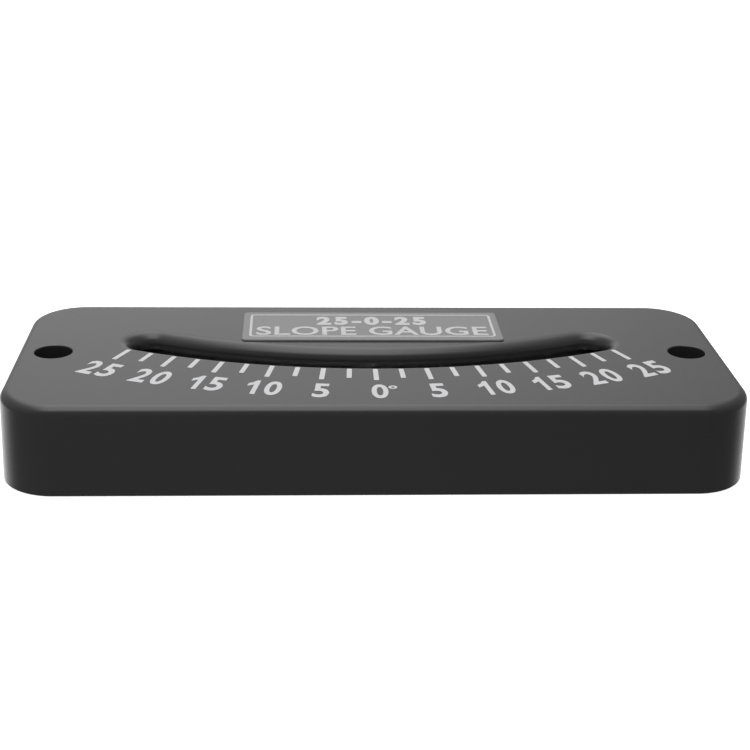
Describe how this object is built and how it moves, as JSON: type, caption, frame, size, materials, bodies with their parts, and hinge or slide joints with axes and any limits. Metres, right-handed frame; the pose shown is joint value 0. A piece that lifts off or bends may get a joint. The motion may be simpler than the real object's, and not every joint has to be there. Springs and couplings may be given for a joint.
{
  "type": "ball clinometer",
  "caption": "Wall or dash slope gauge: a moulded black case whose curved slot shows a steel ball rolling in an arc-shaped glass tube over a degree scale.",
  "frame": {"origin": "middle of the flat back, where the gauge lies on its mounting surface", "axes": "+X along the case's length, +Y towards the label's edge, which is uppermost in use, +Z out of the face"},
  "size_m": [0.1526, 0.0636, 0.0195],
  "materials": {
    "case": "satin black moulded plastic",
    "cover": "fine matt black",
    "glass": "clear",
    "ball": "polished dark steel",
    "plug_rubber": "matt",
    "pad_rubber": "matt",
    "gasket_rubber": "matt",
    "backing": "dead matt black",
    "clamp_metal": "plain",
    "screw_metal": "bright zinc",
    "label": "satin grey"
  },
  "bodies": {
    "gauge": {"case": "case", "glass_tube": "glass", "tube_plug_left": "plug_rubber", "tube_plug_right": "plug_rubber", "backing_strip": "backing", "clamp_pad_left": "pad_rubber", "clamp_pad_right": "pad_rubber", "tube_clamp_left": "clamp_metal", "tube_clamp_right": "clamp_metal", "clamp_screw_1": "screw_metal", "clamp_screw_2": "screw_metal", "clamp_screw_3": "screw_metal", "clamp_screw_4": "screw_metal", "cover_gasket": "gasket_rubber", "back_cover": "cover", "cover_screw_1": "screw_metal", "cover_screw_2": "screw_metal", "cover_screw_3": "screw_metal", "cover_screw_4": "screw_metal", "label_plate": "label"},
    "ball": {"indicator_ball": "ball"}
  },
  "joints": [
    {"name": "ball_roll", "type": "hinge", "parent": "gauge", "child": "ball", "pos_m": [0, 0.11322, 0.0118], "axis": [0, 0, 1], "range_deg": [-25, 25]}
  ]
}
